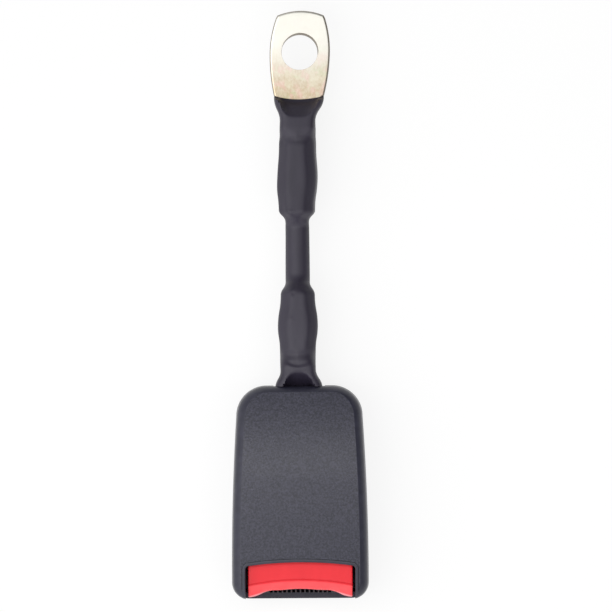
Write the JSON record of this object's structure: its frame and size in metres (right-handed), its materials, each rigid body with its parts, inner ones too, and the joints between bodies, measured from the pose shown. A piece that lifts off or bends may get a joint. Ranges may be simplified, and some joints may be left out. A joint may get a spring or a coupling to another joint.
{
  "type": "seat belt buckle adapter",
  "caption": "Seat belt buckle with a press button on a short sleeved wire-rope stalk that ends in a steel anchor plate with a bolt hole.",
  "frame": {"origin": "middle of the overall box, on the face that the buckle lies on", "axes": "+X across the buckle, +Y along it from the tongue slot to the anchor plate, +Z out of the face with the button"},
  "size_m": [0.0472, 0.2028, 0.025],
  "materials": {
    "cover_grey": "fine grain, dark blue-grey",
    "button_red": "satin red",
    "insert_black": "moulded black",
    "sheet_steel": "stamped",
    "pin_steel": "turned",
    "spring_steel": "drawn wire",
    "rope_steel": "stranded",
    "ferrule_alloy": "pressed",
    "sleeve_black": "shrunk tube, black",
    "zinc_yellow": "zinc plated, yellow passivated",
    "slider_white": "natural"
  },
  "bodies": {
    "housing": {"front_cover": "cover_grey", "back_cover": "cover_grey", "tongue_guide": "insert_black", "frame": "sheet_steel", "frame_bridge": "sheet_steel", "bridge_rivet_left": "pin_steel", "bridge_rivet_right": "pin_steel", "latch_pin": "pin_steel", "latch_spring": "spring_steel", "ejector_spring": "spring_steel", "button_spring_left": "spring_steel", "button_spring_right": "spring_steel", "wire_rope": "rope_steel", "lower_ferrule": "ferrule_alloy", "upper_ferrule": "ferrule_alloy", "cable_sleeve": "sleeve_black", "anchor_plate": "zinc_yellow"},
    "button": {"press_button": "button_red"},
    "latch": {"latch_plate": "sheet_steel"},
    "ejector": {"ejector": "slider_white"}
  },
  "joints": [
    {"name": "button_press", "type": "slide", "parent": "housing", "child": "button", "axis": [0, 1, 0], "range_m": [0, 0.005], "stiffness_N_per_m": 400, "springref_m": -0.004, "deforming": ["button_spring_left", "button_spring_right"]},
    {"name": "latch_pivot", "type": "hinge", "parent": "housing", "child": "latch", "pos_m": [0, -0.05357, 0.0165], "axis": [-1, 0, 0], "range_deg": [0, 11.2], "deforming": ["latch_spring"]},
    {"name": "ejector_slide", "type": "slide", "parent": "housing", "child": "ejector", "axis": [0, 1, 0], "range_m": [0, 0.009], "stiffness_N_per_m": 300, "springref_m": -0.005, "deforming": ["ejector_spring"]}
  ],
  "couplings": [
    {"joint": "latch_pivot", "follows": "button_press", "rad_per_m": 39}
  ]
}
